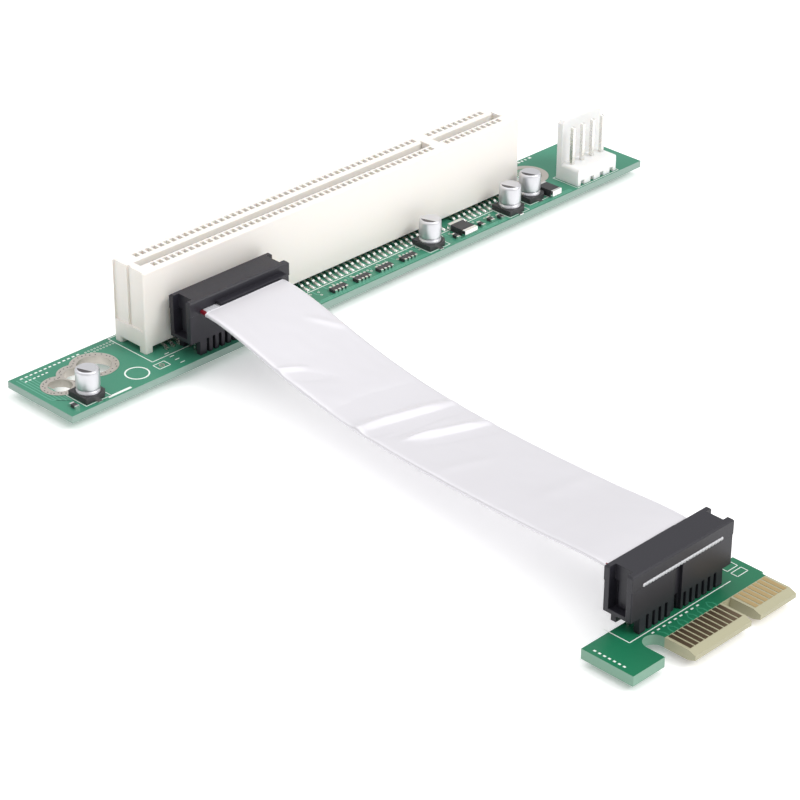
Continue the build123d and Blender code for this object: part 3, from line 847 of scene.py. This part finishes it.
# Each crease runs from one place to another, given as a share of the foil's length and a place
# across it from -1 to 1, and has a height and a width
creases = ((0.41, -1.0, 0.46, 1.0, 0.62, 0.85), (0.435, -1.0, 0.485, 1.0, -0.40, 1.1),
           (0.36, -1.0, 0.40, 1.0, -0.42, 2.4), (0.50, -0.35, 0.55, 1.0, 0.60, 0.8),
           (0.49, -0.6, 0.51, 0.0, 0.26, 0.5), (0.525, -0.3, 0.575, 1.0, -0.34, 1.0),
           (0.20, -1.0, 0.225, -0.5, 0.30, 0.5), (0.22, -1.0, 0.27, -0.3, -0.22, 1.2),
           (0.12, 0.5, 0.18, 0.98, 0.20, 0.7), (0.47, -0.7, 0.48, 0.5, -0.22, 0.5),
           (0.60, -0.9, 0.64, 0.2, 0.12, 1.2), (0.78, -0.2, 0.80, 1.0, 0.10, 1.5))
# Each slow wave of the foil has a height, a rate across, a rate along and a place in the noise
top_waves = ((0.10, 1.3, 0.07, 0.4), (0.035, 4.1, 0.33, 2.2))
underside_wave = (0.03, 3, 0.2, 7.7)


def wave_height(wave, across, y):
    """Height of one slow wave at depth y and a place across the foil from -1 to 1."""
    rise, rate_across, rate_along, place = wave
    return rise * noise(Vector((across * rate_across, y * rate_along, place)))


def crease_height(y, across):
    """How far the foil stands off the ribbon at depth y and a place across it from -1 to 1."""
    end_height = 0.35
    end_slope = 2.2
    height = 0.0
    px, py = across * ribbon_width / 2, y
    for first_share, first_across, second_share, second_across, rise, width in creases:
        ax, ay = first_across * ribbon_width / 2, along_foil(first_share)
        bx, by = second_across * ribbon_width / 2, along_foil(second_share)
        length_squared = (bx - ax) ** 2 + (by - ay) ** 2
        t = min(max(((px - ax) * (bx - ax) + (py - ay) * (by - ay)) / length_squared, 0), 1)
        distance = math.hypot(px - ax - t * (bx - ax), py - ay - t * (by - ay))
        taper = min(1.0, end_height + end_slope * min(t, 1 - t))
        height += rise * taper * math.exp(-(distance / width) ** 2)
    for wave in top_waves:
        height += wave_height(wave, across, y)
    return height


def foil_wrap():
    """Closed flat tube of foil round the ribbon, creased on top."""
    steps = 420
    columns = 60
    half_width = ribbon_width / 2 + 0.12
    half_thickness = ribbon_thickness / 2 + 0.1
    edge_band = 0.06
    edge_thinning = 0.55
    fade_band = 0.08
    fade_at_edge = 0.45
    deepest_crease = -0.09
    top = [(-1 + 2 * column / columns, 1) for column in range(columns + 1)]
    underside = [(1 - 2 * column / columns, -1) for column in range(columns + 1)]
    section = top + underside
    shape = Shape()
    for step in range(steps + 1):
        y = foil_high.y + (foil_low.y - foil_high.y) * step / steps
        centre = at_y(y)
        for across, face in section:
            rounding = 1 - edge_thinning * max(0, abs(across) - (1 - edge_band)) / edge_band
            lift = face * half_thickness * rounding
            if face > 0:
                edge_fade = min(1, (1 - abs(across)) / fade_band + fade_at_edge)
                lift += max(crease_height(y, across), deepest_crease) * edge_fade
            else:
                lift += wave_height(underside_wave, across, y)
            shape.points.append((centre.x + across * half_width, y, centre.z + lift))
    around = len(section)
    shape.skin(0, steps, around)
    shape.faces.append(tuple(range(around)))
    shape.faces.append(tuple(steps * around + i for i in reversed(range(around))))
    return shape


def ribbon():
    """The ribbon with a rounded ridge for each wire. The first wire has the second finish."""
    steps = 160
    points_per_wire = 6
    groove_share = 0.42
    foil_lap = 0.5
    squeeze_run = 1.0
    squeeze_across = 0.02
    squeeze_height = 0.5
    top = []
    for wire in range(wire_count):
        for i in range(points_per_wire):
            angle = math.pi * (i + 0.5) / points_per_wire
            x = -ribbon_width / 2 + wire_pitch * (wire + 0.5 - 0.5 * math.cos(angle))
            height = (groove_share + (1 - groove_share) * math.sin(angle)) * ribbon_thickness / 2
            top.append((x, height, wire))
    section = top + [(x, -height, wire) for x, height, wire in reversed(top)]
    shape = Shape()
    start_y, end_y = route[0][1], route[-1][1]
    for step in range(steps + 1):
        y = start_y + (end_y - start_y) * step / steps
        centre = at_y(y)
        after_start = min(max((foil_high.y - foil_lap - y) / squeeze_run, 0), 1)
        before_end = min(max((y - foil_low.y - foil_lap) / squeeze_run, 0), 1)
        covered = after_start * before_end
        for x, height, _ in section:
            shape.points.append((centre.x + x * (1 - squeeze_across * covered), y,
                                 centre.z + height * (1 - squeeze_height * covered)))
    around = len(section)
    shape.skin(0, steps, around)
    shape.finish_numbers = [1 if wire == 0 else 0 for _, _, wire in section] * steps
    for first in (0, steps * around):
        for i in range(around // 2 - 1):
            shape.faces.append((first + i, first + i + 1, first + around - 2 - i, first + around - 1 - i))
            shape.finish_numbers.append(0)
    return shape


def add_cable():
    """The ribbon and its foil between the connectors, in place of the model's cable and foil."""
    ribbon_piece = ribbon().piece("ribbon_wires", "wire_grey", "wire_red", smooth=True)
    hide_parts("ribbon_cable")
    foil_piece = foil_wrap().piece("foil_wrap", "foil", smooth=True)
    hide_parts("cable_foil")


# Studio: white floor and backdrop, a broad key from the front right and soft fill from above

def add_floor():
    """A white floor with a faint sheen and glow, a hair under the part."""
    reach = 6.0
    level = -0.02 * MM
    material = bpy.data.materials.new("floor_white")
    material.use_nodes = True
    shader = material.node_tree.nodes["Principled BSDF"]
    shader.inputs["Base Color"].default_value = (0.93, 0.93, 0.93, 1)
    shader.inputs["Roughness"].default_value = 0.3
    shader.inputs["Specular IOR Level"].default_value = 0.25
    shader.inputs["Emission Color"].default_value = (1, 1, 1, 1)
    shader.inputs["Emission Strength"].default_value = 0.26
    mesh = bpy.data.meshes.new("floor")
    mesh.from_pydata([(-reach, -reach, level), (reach, -reach, level), (reach, reach, level),
                      (-reach, reach, level)], [], [(0, 1, 2, 3)])
    mesh.materials.append(material)
    floor = bpy.data.objects.new("floor", mesh)
    bpy.context.scene.collection.objects.link(floor)


def add_sun(name, toward, strength, spread):
    """A soft sun lamp that shines from a direction, with its spread in degrees."""
    lamp = bpy.data.lights.new(name, "SUN")
    lamp.energy = strength
    lamp.angle = math.radians(spread)
    holder = bpy.data.objects.new(name, lamp)
    holder.rotation_euler = Vector(toward).to_track_quat("Z", "Y").to_euler()
    bpy.context.scene.collection.objects.link(holder)


def add_world():
    """White behind the part for the camera, and for all else a light that grows towards the top."""
    world = bpy.data.worlds.new("studio")
    bpy.context.scene.world = world
    world.use_nodes = True
    sky = world.node_tree
    sky.nodes.clear()
    leave = sky.nodes.new("ShaderNodeOutputWorld")
    ambient = sky.nodes.new("ShaderNodeBackground")
    ambient.inputs["Strength"].default_value = 0.74
    backdrop = sky.nodes.new("ShaderNodeBackground")
    backdrop.inputs["Color"].default_value = (1, 1, 1, 1)
    ray = sky.nodes.new("ShaderNodeLightPath")
    either = sky.nodes.new("ShaderNodeMixShader")
    place = sky.nodes.new("ShaderNodeTexCoord")
    split = sky.nodes.new("ShaderNodeSeparateXYZ")
    ramp = sky.nodes.new("ShaderNodeMapRange")
    ramp.inputs["From Min"].default_value = -0.1
    ramp.inputs["From Max"].default_value = 0.9
    ramp.inputs["To Min"].default_value = 0.55
    ramp.inputs["To Max"].default_value = 1.25
    sky.links.new(place.outputs["Generated"], split.inputs[0])
    sky.links.new(split.outputs[2], ramp.inputs["Value"])
    sky.links.new(ramp.outputs["Result"], ambient.inputs["Color"])
    sky.links.new(ray.outputs["Is Camera Ray"], either.inputs[0])
    sky.links.new(ambient.outputs[0], either.inputs[1])
    sky.links.new(backdrop.outputs[0], either.inputs[2])
    sky.links.new(either.outputs[0], leave.inputs["Surface"])


def add_camera():
    """The camera, as fitted to the photograph."""
    place = Vector((-287.65, -244.13, 210.03))
    forward = Vector((0.61886836, 0.61234905, -0.49196605)).normalized()
    right = Vector((0.70499043, -0.70920499, 0.00409637)).normalized()
    up = right.cross(forward).normalized()
    data = bpy.data.cameras.new("camera")
    data.sensor_width = 36
    data.lens = 125.83
    data.clip_start = 0.01
    camera = bpy.data.objects.new("camera", data)
    turn = Matrix((right, up, -forward)).transposed().to_4x4()
    camera.matrix_world = Matrix.Translation(place * MM) @ turn
    bpy.context.scene.collection.objects.link(camera)
    bpy.context.scene.camera = camera


add_solder()
for number in capacitor_numbers:
    add_can(number)
add_tracks()
add_riser_print()
add_card_print()
add_cable()
add_floor()
add_sun("key", (0.38, -0.72, 0.80), 1.35, 24)
add_sun("top", (0.05, 0.10, 1.0), 0.45, 60)
add_sun("back", (-0.25, 0.65, 0.8), 0.30, 40)
add_world()
add_camera()
bpy.context.scene.view_settings.view_transform = "Standard"
